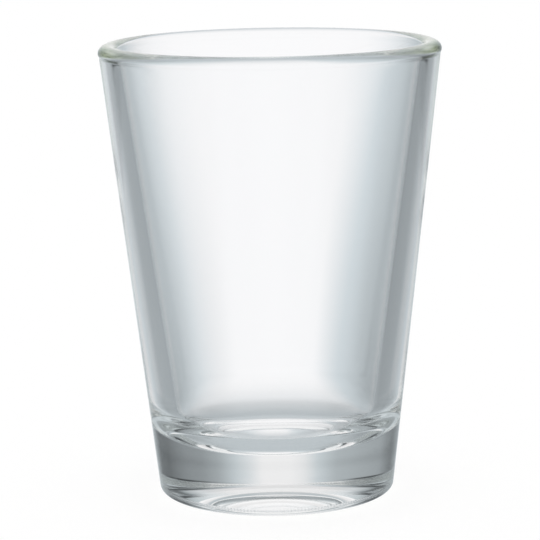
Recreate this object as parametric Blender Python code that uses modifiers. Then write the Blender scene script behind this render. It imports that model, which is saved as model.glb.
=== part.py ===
"""Espresso shot glass: a tapered tumbler with a thick base, one piece of clear glass turned about +Z.

The origin is on the table, at the centre of the resting ring. Lengths are in metres.
"""

import math

import bpy

# Driving dimensions
HEIGHT = 0.080             # table to the top of the lip
RIM_RADIUS = 0.030         # outermost radius, at the lip
FOOT_RADIUS = 0.02085      # where the line of the outer wall meets the table
LIP_WALL = 0.0033          # wall just under the lip, measured square to the outer wall
BASE_WALL = 0.0049         # wall at the level of the inner floor, measured the same way
LIP_RISE = 0.00135         # height of the fire-polished lip, a half ellipse across the wall
LIP_BEAD = 0.00012         # how far the lip stands proud of the outer wall
BEAD_NECK = 0.0008         # height over which that bead runs out into the wall
BASE_THICKNESS = 0.0097    # table to the inner floor
CORNER_RADIUS = 0.0085     # rounding between the inner floor and the wall
HEEL_RADIUS = 0.0012       # rounding between the outer wall and the table
RING_WIDTH = 0.0066        # flat ring that the glass rests on
PUNT_DEPTH = 0.0028        # rise of the hollow under the base, at its centre
PUNT_EDGE_RADIUS = 0.0010  # rounding between the resting ring and the hollow

# Fineness of the facets
TURN_STEPS = 72            # around the glass
LIP_STEPS = 7              # on each side of the lip's top
BEAD_STEPS = 4
CORNER_STEPS = 8
HEEL_STEPS = 5
PUNT_EDGE_STEPS = 2
PUNT_STEPS = 8

# Looks
GLASS_COLOUR = (0.93, 0.97, 0.96, 1.0)
GLASS_ROUGHNESS = 0.02
GLASS_IOR = 1.5

SOLVER_ROUNDS = 30         # rounds that settle the lean of the wall
MERGE_DISTANCE = 0.000001  # closes the seam and the two poles


def arc(centre, radius, start, end, steps):
    """Points on a circle in the (radius, height) plane, from angle start to angle end."""
    turns = [start + (end - start) * i / steps for i in range(steps + 1)]
    return [(centre[0] + radius * math.cos(t), centre[1] + radius * math.sin(t)) for t in turns]


def lip_centre(lean):
    """Centre of the lip's ellipse, so that its top is at HEIGHT and its outside at RIM_RADIUS."""
    reach_out = math.hypot((LIP_WALL / 2 + LIP_BEAD) * math.cos(lean), LIP_RISE * math.sin(lean))
    reach_up = math.hypot(LIP_WALL / 2 * math.sin(lean), LIP_RISE * math.cos(lean))
    return RIM_RADIUS - reach_out, HEIGHT - reach_up


def wall_lean():
    """Lean of the outer wall from upright: its line runs from the foot to the lip, under the bead."""
    lean = math.atan2(RIM_RADIUS - FOOT_RADIUS, HEIGHT)
    for _ in range(SOLVER_ROUNDS):
        r, z = lip_centre(lean)
        r += LIP_WALL / 2 * math.cos(lean)
        z -= LIP_WALL / 2 * math.sin(lean)
        lean = math.atan2(r - FOOT_RADIUS, z)
    return lean


def lip(lean):
    """Half ellipse over the top of the wall, from its inner side to its outer side, then the bead's neck.

    Each point of the ellipse is given by the direction that the surface faces there, so the top and the
    outside are exact. The neck is half a wave, smooth at both of its ends.
    """
    inner_side = math.pi - lean
    top = math.pi / 2
    facing = [inner_side + (top - inner_side) * i / LIP_STEPS for i in range(LIP_STEPS)]
    facing += [top * (1 - i / LIP_STEPS) for i in range(LIP_STEPS + 1)]
    facing += [-lean]
    places = []
    for turn in facing:
        half = LIP_WALL / 2 + (LIP_BEAD if math.cos(turn + lean) > 0 else 0.0)
        t = math.atan2(LIP_RISE * math.sin(turn + lean), half * math.cos(turn + lean))
        places.append((half * math.cos(t), LIP_RISE * math.sin(t)))
    for i in range(1, BEAD_STEPS + 1):
        down = i / BEAD_STEPS
        swell = (1 + math.cos(math.pi * down)) / 2
        places.append((LIP_WALL / 2 + LIP_BEAD * swell, -BEAD_NECK * down))

    r, z = lip_centre(lean)
    cosine = math.cos(lean)
    sine = math.sin(lean)
    return [(r + x * cosine + y * sine, z - x * sine + y * cosine) for x, y in places]


def inside(lean, lip_inner):
    """Inner floor from its centre, then the rounded corner up to the inner wall."""
    foot_of_wall = (
        FOOT_RADIUS + (BASE_THICKNESS - BASE_WALL * math.sin(lean)) * math.tan(lean)
        - BASE_WALL * math.cos(lean)
    )
    inner_lean = math.atan2(lip_inner[0] - foot_of_wall, lip_inner[1] - BASE_THICKNESS)
    floor_radius = foot_of_wall - CORNER_RADIUS * (1 / math.cos(inner_lean) - math.tan(inner_lean))
    centre = (floor_radius, BASE_THICKNESS + CORNER_RADIUS)
    corner = arc(centre, CORNER_RADIUS, -math.pi / 2, -inner_lean, CORNER_STEPS)
    return [(0.0, BASE_THICKNESS)] + corner


def heel(lean):
    """Rounded corner from the outer wall down to the table."""
    centre = (FOOT_RADIUS - HEEL_RADIUS * (1 / math.cos(lean) - math.tan(lean)), HEEL_RADIUS)
    return arc(centre, HEEL_RADIUS, -lean, -math.pi / 2, HEEL_STEPS)


def underside(ring_outer):
    """Resting ring, its rounded inner edge and the domed hollow, in to the centre."""
    mouth = ring_outer - RING_WIDTH
    dome_radius = (mouth ** 2 + PUNT_DEPTH ** 2) / (2 * PUNT_DEPTH)
    dome_centre = (0.0, PUNT_DEPTH - dome_radius)
    rise = PUNT_EDGE_RADIUS - dome_centre[1]
    edge_centre = (math.sqrt((dome_radius + PUNT_EDGE_RADIUS) ** 2 - rise ** 2), PUNT_EDGE_RADIUS)
    meeting = math.atan2(rise, edge_centre[0])
    edge = arc(edge_centre, PUNT_EDGE_RADIUS, -math.pi / 2, meeting - math.pi, PUNT_EDGE_STEPS)
    dome = arc(dome_centre, dome_radius, meeting, math.pi / 2, PUNT_STEPS)
    return edge + dome[1:-1] + [(0.0, PUNT_DEPTH)]


def glass_profile():
    """Half section, from the inner floor's centre over the lip to the centre of the underside."""
    lean = wall_lean()
    top = lip(lean)
    outer_corner = heel(lean)
    return inside(lean, top[0]) + top + outer_corner + underside(outer_corner[-1][0])


def clear_glass():
    material = bpy.data.materials.new("clear_glass")
    material.use_nodes = True
    shader = material.node_tree.nodes["Principled BSDF"]
    shader.inputs["Base Color"].default_value = GLASS_COLOUR
    shader.inputs["Roughness"].default_value = GLASS_ROUGHNESS
    shader.inputs["Metallic"].default_value = 0.0
    shader.inputs["IOR"].default_value = GLASS_IOR
    shader.inputs["Transmission Weight"].default_value = 1.0
    return material


def turned(name, profile, material, collection):
    """A named object that turns a half section about Z."""
    mesh = bpy.data.meshes.new(name)
    points = [(r, 0.0, z) for r, z in profile]
    edges = [(i, i + 1) for i in range(len(points) - 1)]
    mesh.from_pydata(points, edges, [])
    mesh.materials.append(material)
    piece = bpy.data.objects.new(name, mesh)
    collection.objects.link(piece)
    turn = piece.modifiers.new("turn", "SCREW")
    turn.axis = "Z"
    turn.angle = 2 * math.pi
    turn.steps = TURN_STEPS
    turn.render_steps = TURN_STEPS
    turn.use_merge_vertices = True
    turn.merge_threshold = MERGE_DISTANCE
    turn.use_smooth_shade = True
    return piece


def main():
    for old in list(bpy.data.objects):
        bpy.data.objects.remove(old)
    collection = bpy.data.collections.new("espresso_shot_glass")
    bpy.context.scene.collection.children.link(collection)
    turned("glass_body", glass_profile(), clear_glass(), collection)


main()
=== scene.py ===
# %% [markdown]
# # An espresso shot glass
#
# The object is one piece of clear glass: a thick solid base, a wall that leans out towards a rounded lip, and
# a shallow hollow under the foot. Nothing is painted on clear glass, so nearly all that the eye sees is what
# the glass bends: the shape of its inside and outside, and the studio around it. This lesson makes the two
# with equal care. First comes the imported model, which is the fixed frame that the looks are fitted to.

# %% Load the frame
import math

import bpy
from mathutils import Matrix, Vector


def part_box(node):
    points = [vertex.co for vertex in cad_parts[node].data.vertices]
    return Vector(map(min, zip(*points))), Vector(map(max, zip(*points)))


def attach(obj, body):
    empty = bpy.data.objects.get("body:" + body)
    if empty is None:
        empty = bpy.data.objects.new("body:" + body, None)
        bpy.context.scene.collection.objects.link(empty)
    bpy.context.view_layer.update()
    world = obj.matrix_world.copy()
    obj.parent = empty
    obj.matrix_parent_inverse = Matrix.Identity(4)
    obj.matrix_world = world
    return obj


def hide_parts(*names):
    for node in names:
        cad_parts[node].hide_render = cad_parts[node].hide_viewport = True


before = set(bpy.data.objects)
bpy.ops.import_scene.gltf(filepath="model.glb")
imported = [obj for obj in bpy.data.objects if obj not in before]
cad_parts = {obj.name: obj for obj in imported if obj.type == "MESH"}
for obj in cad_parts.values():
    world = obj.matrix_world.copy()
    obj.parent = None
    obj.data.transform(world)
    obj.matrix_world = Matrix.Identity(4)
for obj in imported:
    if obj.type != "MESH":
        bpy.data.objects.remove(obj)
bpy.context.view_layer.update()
glass_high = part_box("glass_body")[1]
print("the glass stands", round(glass_high.z * 1000, 2), "mm tall")

# %% [markdown]
# ## The half section
#
# A glass like this is turned: every cut through its axis shows the same half section. It could be modelled as
# a cylinder with loop cuts and bevels, but a lens is judged by its curves, so the section is worked out from
# a few real sizes, with true arcs where the maker's mould and flame left them. The height and the rim come
# from the frame. The other sizes are the ones that the solid was built with.

# %% Sizes of the glass, in metres
HEIGHT = glass_high.z
RIM_RADIUS = glass_high.x
FOOT_RADIUS = 0.02085      # where the line of the outer wall meets the table
LIP_WALL = 0.0033          # wall just under the lip
BASE_WALL = 0.0049         # wall at the level of the inner floor
LIP_RISE = 0.00135         # height of the melted lip
LIP_BEAD = 0.00012         # how far the lip stands proud of the outer wall
BEAD_NECK = 0.0008         # height over which that bead runs out into the wall
BASE_THICKNESS = 0.0097    # table to the inner floor
CORNER_RADIUS = 0.0085     # between the inner floor and the wall
HEEL_RADIUS = 0.0012       # between the outer wall and the table
RING_WIDTH = 0.0066        # flat ring that the glass rests on
PUNT_DEPTH = 0.0028        # rise of the hollow under the base
PUNT_EDGE_RADIUS = 0.0010  # between the resting ring and the hollow
print("the base is", round(BASE_THICKNESS * 1000, 2), "mm thick under the inner floor")

# %% [markdown]
# Straight runs and arcs are both cut into short steps. The steps matter on the straight runs too: a smooth
# normal is blended from one point to the next, so a long flat face beside a small round one would look
# curved, and in glass that bends the view.

# %% Runs and arcs
LONGEST_STEP = 0.0006
WIDEST_TURN = math.radians(6)


def straight(start, end):
    """Points of a straight run, with both ends."""
    count = max(2, math.ceil(math.dist(start, end) / LONGEST_STEP))
    return [
        (start[0] + (end[0] - start[0]) * i / count, start[1] + (end[1] - start[1]) * i / count)
        for i in range(count + 1)
    ]


def arc(centre, radius, start, end):
    """Points of an arc in the (radius, height) plane, with both ends."""
    turn = abs(end - start)
    count = math.ceil(max(turn / WIDEST_TURN, turn * radius / LONGEST_STEP))
    angles = [start + (end - start) * i / count for i in range(count + 1)]
    return [(centre[0] + radius * math.cos(a), centre[1] + radius * math.sin(a)) for a in angles]


def chained(*stretches):
    """One line from stretches that start where the last one ended."""
    line = list(stretches[0])
    for stretch in stretches[1:]:
        line += straight(line[-1], stretch[0])[1:-1] + list(stretch)
    return line


quarter = arc((0.0, 0.0), CORNER_RADIUS, 0.0, math.pi / 2)
print("a quarter turn of the inner corner takes", len(quarter), "points")

# %% [markdown]
# The lip was melted round in a flame, which leaves a half ellipse across the top of the leaning wall. The
# soft glass sinks a little as it melts, so the lip stands a hair proud of the outer wall, and this bead runs
# out below in half a wave. It is only a tenth of a millimetre, but it bends the view enough to draw a dark
# spot under each end of the rim. The lip touches the full height and the full radius, and how far the wall
# leans depends on both, so the lean is settled by going round a few times.

# %% The fire-polished lip
LIP_STEPS = 14
BEAD_STEPS = 14
SOLVER_ROUNDS = 30


def lip_centre(lean):
    """Centre of the lip's ellipse, which touches the full height and the full radius."""
    reach_out = math.hypot((LIP_WALL / 2 + LIP_BEAD) * math.cos(lean), LIP_RISE * math.sin(lean))
    reach_up = math.hypot(LIP_WALL / 2 * math.sin(lean), LIP_RISE * math.cos(lean))
    return RIM_RADIUS - reach_out, HEIGHT - reach_up


def wall_lean():
    """Lean of the outer wall from upright."""
    lean = math.atan2(RIM_RADIUS - FOOT_RADIUS, HEIGHT)
    for _ in range(SOLVER_ROUNDS):
        r, z = lip_centre(lean)
        r += LIP_WALL / 2 * math.cos(lean)
        z -= LIP_WALL / 2 * math.sin(lean)
        lean = math.atan2(r - FOOT_RADIUS, z)
    return lean


def lip(lean):
    """Half ellipse over the wall, spaced by the way that it faces, then the neck of the bead."""
    inner_side = math.pi - lean
    top = math.pi / 2
    facing = [inner_side + (top - inner_side) * i / LIP_STEPS for i in range(LIP_STEPS)]
    facing += [top * (1 - i / LIP_STEPS) for i in range(LIP_STEPS + 1)]
    facing += [-lean]
    places = []
    for turn in facing:
        half = LIP_WALL / 2 + (LIP_BEAD if math.cos(turn + lean) > 0 else 0.0)
        t = math.atan2(LIP_RISE * math.sin(turn + lean), half * math.cos(turn + lean))
        places.append((half * math.cos(t), LIP_RISE * math.sin(t)))
    for i in range(1, BEAD_STEPS + 1):
        down = i / BEAD_STEPS
        swell = (1 + math.cos(math.pi * down)) / 2
        places.append((LIP_WALL / 2 + LIP_BEAD * swell, -BEAD_NECK * down))

    r, z = lip_centre(lean)
    cosine = math.cos(lean)
    sine = math.sin(lean)
    return [(r + x * cosine + y * sine, z - x * sine + y * cosine) for x, y in places]


LEAN = wall_lean()
LIP = lip(LEAN)
print("the wall leans", round(math.degrees(LEAN), 2), "degrees; the lip has", len(LIP), "points")

# %% [markdown]
# Inside, the floor meets the wall in a generous rounding, which the plunger of the press leaves. Outside, the
# heel is a tight rounding. Underneath, the glass rests on a flat ring, and a shallow dome, the punt, keeps
# its middle clear of the table.

# %% Inside, heel and underside
def inside():
    """Inner floor from its centre, then the rounded corner up to the inner wall."""
    foot_of_wall = (
        FOOT_RADIUS + (BASE_THICKNESS - BASE_WALL * math.sin(LEAN)) * math.tan(LEAN)
        - BASE_WALL * math.cos(LEAN)
    )
    inner_lean = math.atan2(LIP[0][0] - foot_of_wall, LIP[0][1] - BASE_THICKNESS)
    floor_radius = foot_of_wall - CORNER_RADIUS * (1 / math.cos(inner_lean) - math.tan(inner_lean))
    centre = (floor_radius, BASE_THICKNESS + CORNER_RADIUS)
    corner = arc(centre, CORNER_RADIUS, -math.pi / 2, -inner_lean)
    return chained([(0.0, BASE_THICKNESS)], corner)


def heel():
    """Rounded corner from the outer wall down to the table."""
    centre = (FOOT_RADIUS - HEEL_RADIUS * (1 / math.cos(LEAN) - math.tan(LEAN)), HEEL_RADIUS)
    return arc(centre, HEEL_RADIUS, -LEAN, -math.pi / 2)


def underside(ring_outer):
    """Rounded inner edge of the resting ring and the domed hollow, in to the centre."""
    mouth = ring_outer - RING_WIDTH
    dome_radius = (mouth ** 2 + PUNT_DEPTH ** 2) / (2 * PUNT_DEPTH)
    dome_centre = (0.0, PUNT_DEPTH - dome_radius)
    rise = PUNT_EDGE_RADIUS - dome_centre[1]
    edge_centre = (math.sqrt((dome_radius + PUNT_EDGE_RADIUS) ** 2 - rise ** 2), PUNT_EDGE_RADIUS)
    meeting = math.atan2(rise, edge_centre[0])
    edge = arc(edge_centre, PUNT_EDGE_RADIUS, -math.pi / 2, meeting - math.pi)
    dome = arc(dome_centre, dome_radius, meeting, math.pi / 2)
    return edge + dome[1:-1] + [(0.0, PUNT_DEPTH)]


outer_corner = heel()
SECTION = chained(inside(), LIP, outer_corner, underside(outer_corner[-1][0]))
print("the half section has", len(SECTION), "points")

# %% [markdown]
# The solid in the frame is a coarser cut of the same section, so each of its corners has to lie on the fine
# one. This cell measures the largest distance between them, which should be a few thousandths of a
# millimetre.

# %% Compare the section with the solid
def distance_to_section(r, z):
    """Distance from a point of the half plane to the nearest stretch of the section."""
    nearest = math.inf
    for (r0, z0), (r1, z1) in zip(SECTION, SECTION[1:]):
        along = ((r - r0) * (r1 - r0) + (z - z0) * (z1 - z0)) / ((r1 - r0) ** 2 + (z1 - z0) ** 2)
        along = min(1.0, max(0.0, along))
        nearest = min(nearest, math.dist((r, z), (r0 + along * (r1 - r0), z0 + along * (z1 - z0))))
    return nearest


solid_corners = {
    (round(math.hypot(v.co.x, v.co.y), 6), round(v.co.z, 6))
    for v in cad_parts["glass_body"].data.vertices
}
apart = max(distance_to_section(r, z) for r, z in solid_corners)
print("largest distance from the solid:", round(apart * 1000, 4), "mm over", len(solid_corners), "rings")

# %% [markdown]
# ## Nodes as expressions
#
# Both the turned mesh and the finishes are node trees. Written as calls, a sum such as x * x + y * y takes
# a dozen lines, so one small class wraps a socket and lets Python's own operators add the Math nodes. Every
# other node comes from one method, which takes the node's type, its settings and its sockets.

# %% A socket that takes part in sums
class Value:
    """The output of a node. A sum on it adds a Math node to the same tree."""

    def __init__(self, tree, socket):
        self.tree = tree
        self.socket = socket

    def math(self, operation, first, second=0.0):
        return self.add("ShaderNodeMath", {"operation": operation}, {0: first, 1: second})

    def add(self, kind, settings, sockets, output=0):
        """A new node: its settings go in first, then the values or links of its sockets."""
        node = self.tree.nodes.new(kind)
        for name, setting in settings.items():
            if name == "stops":
                set_stops(node.color_ramp, setting)
            else:
                setattr(node, name, setting)
        for key, given in sockets.items():
            if isinstance(given, Value):
                self.tree.links.new(given.socket, node.inputs[key])
            else:
                node.inputs[key].default_value = given
        return Value(self.tree, node.outputs[output] if len(node.outputs) else None)

    def out(self, output):
        """Another output of the node that this value comes from."""
        return Value(self.tree, self.socket.node.outputs[output])

    def __add__(self, other):
        return self.math("ADD", self, other)

    def __radd__(self, other):
        return self.math("ADD", other, self)

    def __sub__(self, other):
        return self.math("SUBTRACT", self, other)

    def __mul__(self, other):
        return self.math("MULTIPLY", self, other)

    def __rmul__(self, other):
        return self.math("MULTIPLY", other, self)

    def __truediv__(self, other):
        return self.math("DIVIDE", self, other)


def set_stops(ramp, stops):
    """Gives a colour ramp its stops, each a place from 0 to 1 and a colour."""
    elements = ramp.elements
    while len(elements) > 1:
        elements.remove(elements[-1])
    for i, (place, colour) in enumerate(stops):
        stop = elements[0] if i == 0 else elements.new(place)
        stop.position = place
        stop.color = colour


def faded(value, start, end):
    """0 where the value is at start, 1 where it is at end, with a smooth step between them."""
    return value.add(
        "ShaderNodeMapRange",
        {"interpolation_type": "SMOOTHSTEP"},
        {"Value": value, "From Min": start, "From Max": end},
    )


def mixed(factor, first, second):
    """A colour between two colours: the Mix node takes them in its sockets 6 and 7."""
    return factor.add("ShaderNodeMix", {"data_type": "RGBA"}, {0: factor, 6: first, 7: second}, 2)


print("a socket takes part in sums with +, -, * and /")

# %% [markdown]
# ## The finish of the glass
#
# The faint green of clear glass comes from inside, and grows with the way that light travels through it, so
# it is a constant absorption in the volume: the lip, where the view runs far through glass, turns green
# first. The band around the base looks darker than the wall above it. More absorption would grey the base
# too, but it would blacken the lip, so the outside of the base has a slightly grey Base Color instead:
# painted shade that dims only the light that passes through. It stops short of the foot, where the underside
# shows white.
#
# The surface carries what the press leaves: faint waves around the wall where the glass chilled, and fine
# radial teeth on the inner edge of the resting ring, which is a little scuffed.

# %% Clear glass
WHITE = (1.0, 1.0, 1.0, 1.0)
GLASS_INDEX = 1.5
TINT = (0.73, 0.80, 0.40, 1.0)
TINT_DENSITY = 0.5
CHILL_WAVE = 0.004
CHILL_STRETCH = 6.0
CHILL_DEPTH = 0.000004
# painted shade: the grey that darkens the band around the outside of the base
BASE_PAINTED_SHADE = (0.76, 0.76, 0.76, 1.0)
PAINTED_SHADE_TOP = (0.0105, 0.0085)
PAINTED_SHADE_FOOT = (0.0025, 0.0045)
RING_TEETH = 150
RING_DEPTH = 0.00003
RING_SCUFF = 0.05
TEETH_INWARDS = 0.0006     # how far the teeth fade out towards the axis
TEETH_OUTWARDS = 0.0010    # and away from it
SCUFF_INWARDS = 0.0004
UNDERNEATH = 0.0004        # below this height, the surface is part of the underside


def clear_glass():
    material = bpy.data.materials.new("fire_polished_glass")
    material.use_nodes = True
    tree = material.node_tree
    shader = tree.nodes["Principled BSDF"]
    shader.inputs["IOR"].default_value = GLASS_INDEX
    shader.inputs["Transmission Weight"].default_value = 1.0

    start = Value(tree, None)
    place = start.add("ShaderNodeTexCoord", {}, {}, "Object")
    x = start.add("ShaderNodeSeparateXYZ", {}, {0: place}, "X")
    y = x.out("Y")
    z = x.out("Z")
    radius = x.math("SQRT", x * x + y * y)

    # painted shade: a grey Base Color darkens the outside of the base between the foot and the inner floor
    painted_shade_band = faded(z, *PAINTED_SHADE_TOP) * faded(z, *PAINTED_SHADE_FOOT)
    shade = mixed(painted_shade_band, WHITE, BASE_PAINTED_SHADE)
    tree.links.new(shade.socket, shader.inputs["Base Color"])

    stretched = start.add("ShaderNodeCombineXYZ", {}, {"X": x, "Y": y, "Z": z * CHILL_STRETCH})
    waves = start.add(
        "ShaderNodeTexNoise", {},
        {"Vector": stretched, "Scale": 1 / (CHILL_WAVE * CHILL_STRETCH), "Detail": 1.0},
    )
    ring_inner = outer_corner[-1][0] - RING_WIDTH
    near_edge = faded(radius, ring_inner - TEETH_INWARDS, ring_inner)
    near_edge = near_edge * faded(radius, ring_inner + TEETH_OUTWARDS, ring_inner)
    underneath = faded(z, HEEL_RADIUS, UNDERNEATH)
    angle = x.math("ARCTAN2", y, x)
    teeth = x.math("SINE", angle * RING_TEETH)
    height = waves * CHILL_DEPTH + teeth * near_edge * underneath * RING_DEPTH
    bump = start.add("ShaderNodeBump", {}, {"Height": height, "Strength": 1.0, "Distance": 1.0}, "Normal")
    tree.links.new(bump.socket, shader.inputs["Normal"])

    on_ring = underneath * faded(radius, ring_inner - SCUFF_INWARDS, ring_inner)
    tree.links.new((on_ring * RING_SCUFF).socket, shader.inputs["Roughness"])

    tint = tree.nodes.new("ShaderNodeVolumeAbsorption")
    tint.inputs["Color"].default_value = TINT
    tint.inputs["Density"].default_value = TINT_DENSITY
    tree.links.new(tint.outputs["Volume"], tree.nodes["Material Output"].inputs["Volume"])
    return material


GLASS = clear_glass()
print("glass nodes:", len(GLASS.node_tree.nodes))

# %% [markdown]
# ## Turning the section
#
# A Screw modifier or a spin would turn the section too. Geometry Nodes keep the rule in view: a grid has one
# row for each point of the section and one column for each step around, every point of the grid looks up its
# place on the section by its row, and its column turns it about the axis. The first and last columns, and
# the points on the axis, are then merged, which closes the seam and the two poles.

# %% The turning tree
STEPS_AROUND = 256
MERGE_WITHIN = 0.000001


def turning_tree():
    tree = bpy.data.node_groups.new("turned_section", "GeometryNodeTree")
    new = tree.interface.new_socket
    new("Section", in_out="INPUT", socket_type="NodeSocketGeometry")
    new("Steps around", in_out="INPUT", socket_type="NodeSocketInt")
    new("Merge within", in_out="INPUT", socket_type="NodeSocketFloat")
    new("Finish", in_out="INPUT", socket_type="NodeSocketMaterial")
    new("Glass", in_out="OUTPUT", socket_type="NodeSocketGeometry")

    start = Value(tree, None)
    section = start.add("NodeGroupInput", {}, {}, "Section")
    steps = section.out("Steps around")
    rows = start.add("GeometryNodeAttributeDomainSize", {}, {"Geometry": section}, "Point Count")
    grid = start.add(
        "GeometryNodeMeshGrid", {},
        {"Size X": 1.0, "Size Y": 1.0, "Vertices X": steps + 1, "Vertices Y": rows},
    )
    index = start.add("GeometryNodeInputIndex", {}, {})
    column = start.math("FLOOR", index / rows)
    row = index - column * rows
    along = start.add("GeometryNodeInputPosition", {}, {})
    point = start.add(
        "GeometryNodeSampleIndex", {"data_type": "FLOAT_VECTOR"},
        {"Geometry": section, "Value": along, "Index": row},
    )
    turned = start.add(
        "ShaderNodeVectorRotate", {"rotation_type": "Z_AXIS"},
        {"Vector": point, "Angle": column / steps * -math.tau},
    )
    placed = start.add("GeometryNodeSetPosition", {}, {"Geometry": grid, "Position": turned})
    closed = start.add(
        "GeometryNodeMergeByDistance", {}, {"Geometry": placed, "Distance": section.out("Merge within")}
    )
    smooth = start.add("GeometryNodeSetShadeSmooth", {}, {"Geometry": closed})
    plain = start.add("GeometryNodeRealizeInstances", {}, {"Geometry": smooth})
    dressed = start.add(
        "GeometryNodeSetMaterial", {}, {"Geometry": plain, "Material": section.out("Finish")}
    )
    start.add("NodeGroupOutput", {}, {"Glass": dressed})
    return tree


TURNING = turning_tree()
print("turning tree:", [item.name for item in TURNING.interface.items_tree])

# %% [markdown]
# The tree's inputs are set by their identifiers before the object is first evaluated. The result is then
# turned into a plain mesh, so the piece that stands for the solid carries no live modifier.

# %% Turn the glass
def turned_glass():
    line = bpy.data.meshes.new("half_section")
    line.from_pydata([(r, 0.0, z) for r, z in SECTION], [(i, i + 1) for i in range(len(SECTION) - 1)], [])
    blank = bpy.data.objects.new("half_section", line)
    bpy.context.scene.collection.objects.link(blank)
    turn = blank.modifiers.new("turn", "NODES")
    turn.node_group = TURNING
    sizes = {"Steps around": STEPS_AROUND, "Merge within": MERGE_WITHIN, "Finish": GLASS}
    for item in TURNING.interface.items_tree:
        if item.name in sizes:
            turn[item.identifier] = sizes[item.name]
    mesh = bpy.data.meshes.new_from_object(blank.evaluated_get(bpy.context.evaluated_depsgraph_get()))
    mesh.name = "glass"
    mesh.materials.clear()
    mesh.materials.append(GLASS)
    mesh.polygons.foreach_set("material_index", [0] * len(mesh.polygons))
    bpy.data.objects.remove(blank)
    piece = bpy.data.objects.new("glass", mesh)
    bpy.context.scene.collection.objects.link(piece)
    return piece


glass = turned_glass()
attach(glass, "root")
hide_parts("glass_body")
triangles = sum(len(face.vertices) - 2 for face in glass.data.polygons)
print("the glass has", triangles, "triangles and", len(glass.data.materials), "finish")

# %% [markdown]
# ## The studio
#
# A photographer lights clear glass from behind: a white panel stands straight behind it, its glow falls off
# over the table, and dark flags stand at the sides, whose edges draw the outline. The hollow wall bends the
# view outwards and down, so it shows the table. The solid base bends it across, like a lens, and shows the
# glow at the foot of the panel and the flags. The lip and the underside show what hangs overhead: the upper
# part of the panel, a ceiling that gets darker towards the camera, and a pale zenith. Two cards lie lower,
# to both sides: a dark strip along the far edge of the table, which darkens the spots under the rim, and a
# low grey flag at the front.
#
# These cards could be planes around the set. Here they are painted on the world by direction, which lights
# evenly and casts no stray shadow. Each ramp gives greys by compass direction, with 0 straight behind the
# glass, and each pair of angles is where the soft edge of a card starts and where it ends. The glow on the
# table narrows towards the viewer, so the compass direction is stretched a little there.

# %% Greys of the studio
def linear(grey):
    """A screen grey from 0 to 255 as a light level, by the curve of sRGB."""
    level = grey / 255
    return level / 12.92 if level <= 0.04045 else ((level + 0.055) / 1.055) ** 2.4


COOL = (0.92, 1.01, 1.06)
PURE = (1.0, 0.995, 1.005)
WHITE_FROM = 250
COOL_FADE = 30
TABLE = [
    (-180, 228), (-80, 212), (-58, 162), (-35, 164), (-20, 198), (-12, 227), (-7, 245), (-4, 254),
    (4, 254), (8, 222), (12, 207), (20, 181), (35, 156), (55, 150), (80, 204), (180, 228),
]
GLOW = [
    (-180, 215), (-85, 192), (-72, 135), (-60, 105), (-45, 165), (-30, 180), (-20, 190), (-13, 216),
    (-8, 246), (-4, 254), (4, 254), (8, 236), (13, 212), (19, 178), (26, 155), (35, 145), (50, 95),
    (62, 75), (72, 135), (85, 192), (180, 215),
]
PANEL = [
    (-180, 215), (-80, 198), (-60, 165), (-50, 80), (-40, 45), (-30, 95), (-24, 165), (-13, 220),
    (-8, 246), (-4, 254), (4, 254), (8, 236), (13, 205), (26, 110), (34, 60), (45, 20), (54, 30),
    (65, 150), (80, 198), (180, 215),
]
OVERHEAD = [(0, 254), (14, 252), (26, 235), (36, 175), (43, 80), (56, 75), (70, 150), (180, 172)]
TOP = [(0, 254), (30, 235), (85, 210), (115, 170), (150, 140), (180, 105)]
TABLE_FAR = 0.85
TABLE_NEAR = 1.05
TABLE_REACH = (-8, -14)
TABLE_EDGE = (-8.8, -7.4)
PANEL_FOOT = (-1, 5)
OVERHEAD_FOOT = (12, 22)
TOP_FOOT = (40, 52)
ZENITH_FOOT = (55, 70)
ZENITH_GREY = 248
UNDER = (-18, -54)
UNDER_GREY = 193
STRIP_GREY = 30
STRIP = [(30, 38), (62, 52), (-12.5, -11.5), (-7.5, -9)]
FRONT_GREY = 150
FRONT = [(52, 66), (145, 125), (-48, -38), (-19, -24)]


def tinted(grey):
    """A grey's light as a colour: greys are cool, as in daylight, and whites hardly are."""
    share = min(1.0, max(0.0, (WHITE_FROM - grey) / COOL_FADE))
    return (*[linear(grey) * (pure + (cool - pure) * share) for pure, cool in zip(PURE, COOL)], 1.0)


def card(angle, greys):
    """A ramp of greys, from the first stop's angle to the last one's."""
    first = greys[0][0]
    span = greys[-1][0] - first
    stops = [((at - first) / span, tinted(grey)) for at, grey in greys]
    return angle.add("ShaderNodeValToRGB", {"stops": stops}, {"Fac": (angle - first) / span})


def patch(aside, rise, edges):
    """1 on a card to both sides, between two compass directions and two heights, with soft edges."""
    near, far, foot, top = edges
    return faded(aside, *near) * faded(aside, *far) * faded(rise, *foot) * faded(rise, *top)


darkest = min(grey for _, grey in PANEL)
print("the darkest flag has a light level of", round(linear(darkest), 4))

# %% [markdown]
# The world lays the cards over each other, from the table up to the zenith. Only rays that reach it through
# the glass, or bounce off its surface, see them. The camera and the light that falls on the floor meet plain
# white, so the background stays clean.

# %% The world
FIRST_BOUNCE = 0.5         # a diffuse depth below this means that the floor hasn't been met yet


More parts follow.
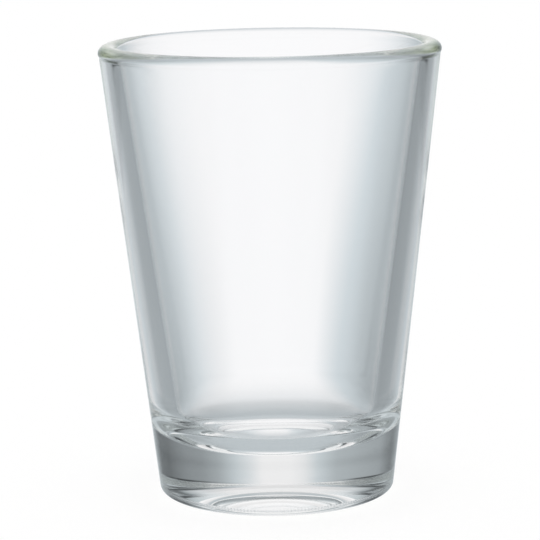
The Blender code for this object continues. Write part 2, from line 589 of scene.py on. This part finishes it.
def studio():
    world = bpy.data.worlds.new("studio")
    world.use_nodes = True
    tree = world.node_tree
    tree.nodes.clear()
    start = Value(tree, None)
    direction = start.add("ShaderNodeTexCoord", {}, {}, "Generated")
    x = start.add("ShaderNodeSeparateXYZ", {}, {0: direction}, "X")
    compass = x.math("ARCTAN2", x, x.out("Y")) * math.degrees(1)
    aside = x.math("ABSOLUTE", compass)
    rise = x.math("ARCSINE", x.out("Z")) * math.degrees(1)

    narrowing = TABLE_FAR + (TABLE_NEAR - TABLE_FAR) * faded(rise, *TABLE_REACH)
    light = mixed(faded(rise, *TABLE_EDGE), card(compass * narrowing, TABLE), card(compass, GLOW))
    light = mixed(faded(rise, *PANEL_FOOT), light, card(compass, PANEL))
    light = mixed(faded(rise, *OVERHEAD_FOOT), light, card(aside, OVERHEAD))
    light = mixed(faded(rise, *TOP_FOOT), light, card(aside, TOP))
    light = mixed(faded(rise, *ZENITH_FOOT), light, tinted(ZENITH_GREY))
    light = mixed(faded(rise, *UNDER), light, tinted(UNDER_GREY))
    light = mixed(patch(aside, rise, STRIP), light, tinted(STRIP_GREY))
    light = mixed(patch(aside, rise, FRONT), light, tinted(FRONT_GREY))

    seen_in_glass = start.add("ShaderNodeBackground", {}, {"Color": light, "Strength": 1.0})
    white = start.add("ShaderNodeBackground", {}, {"Color": WHITE, "Strength": 1.0})
    path = start.add("ShaderNodeLightPath", {}, {}, "Is Transmission Ray")
    through_glass = path.math("MAXIMUM", path, path.out("Is Glossy Ray"))
    from_camera = path.math("LESS_THAN", path.out("Diffuse Depth"), FIRST_BOUNCE)
    shown = start.add("ShaderNodeMixShader", {}, {0: through_glass * from_camera, 1: white, 2: seen_in_glass})
    start.add("ShaderNodeOutputWorld", {}, {"Surface": shown})
    bpy.context.scene.world = world
    return world


print("studio nodes:", len(studio().node_tree.nodes))

# %% [markdown]
# The floor is a plain white sheet. It takes the soft shadow of the glass, and the glass itself looks past it
# at the studio below, as it would on a sheet of lit acrylic.

# %% The floor
FLOOR_SIZE = 6.0
FLOOR_GAP = 0.0002


def pale_floor():
    bpy.ops.mesh.primitive_plane_add(size=FLOOR_SIZE, location=(0, 0, -FLOOR_GAP))
    floor = bpy.context.object
    floor.name = "floor"
    floor.visible_transmission = False
    floor.visible_glossy = False
    material = bpy.data.materials.new("white_sheet")
    material.use_nodes = True
    shader = material.node_tree.nodes["Principled BSDF"]
    shader.inputs["Base Color"].default_value = WHITE
    shader.inputs["Roughness"].default_value = 1.0
    shader.inputs["Specular IOR Level"].default_value = 0.0
    floor.data.materials.append(material)
    return floor


print("floor:", pale_floor().name)

# %% [markdown]
# ## The camera
#
# The view is a long lens from a little above the lip, so the mouth shows as a flat ellipse and the sides
# hardly converge. The frame is square, and the lens is written as the width of that frame at a distance.

# %% The camera
SENSOR_WIDTH = 36.0
FRAME_PIXELS = 540
FOCAL_PIXELS = 2520
CAMERA_DISTANCE = 0.4467
CAMERA_RISE = math.radians(10.25)
CAMERA_TILT = math.radians(-0.974)
AIM_ASIDE = -0.0006
AIM_BELOW = 0.00055        # below half of the height
NEAREST_SEEN = 0.01


def photo_camera():
    lens = bpy.data.cameras.new("camera")
    lens.sensor_width = SENSOR_WIDTH
    lens.lens = FOCAL_PIXELS / FRAME_PIXELS * SENSOR_WIDTH
    lens.clip_start = NEAREST_SEEN
    camera = bpy.data.objects.new("camera", lens)
    place = Vector((
        0.0,
        -CAMERA_DISTANCE * math.cos(CAMERA_RISE),
        HEIGHT / 2 + CAMERA_DISTANCE * math.sin(CAMERA_RISE),
    ))
    target = Vector((AIM_ASIDE, 0.0, HEIGHT / 2 - AIM_BELOW))
    aim = (target - place).to_track_quat("-Z", "Y").to_matrix().to_4x4()
    camera.matrix_world = Matrix.Translation(place) @ aim @ Matrix.Rotation(CAMERA_TILT, 4, "Z")
    bpy.context.scene.collection.objects.link(camera)
    bpy.context.scene.camera = camera
    return camera


print("lens:", round(photo_camera().data.lens, 1), "mm")

# %% [markdown]
# Light crosses many surfaces inside a thick base before it leaves, so the number of bounces is raised, and
# the filter that blurs late reflections is off.

# %% Bounces and the end
MOST_BOUNCES = 512

scene = bpy.context.scene
scene.view_settings.view_transform = "Standard"
scene.cycles.max_bounces = MOST_BOUNCES
scene.cycles.transmission_bounces = MOST_BOUNCES
scene.cycles.glossy_bounces = MOST_BOUNCES
scene.cycles.blur_glossy = 0.0
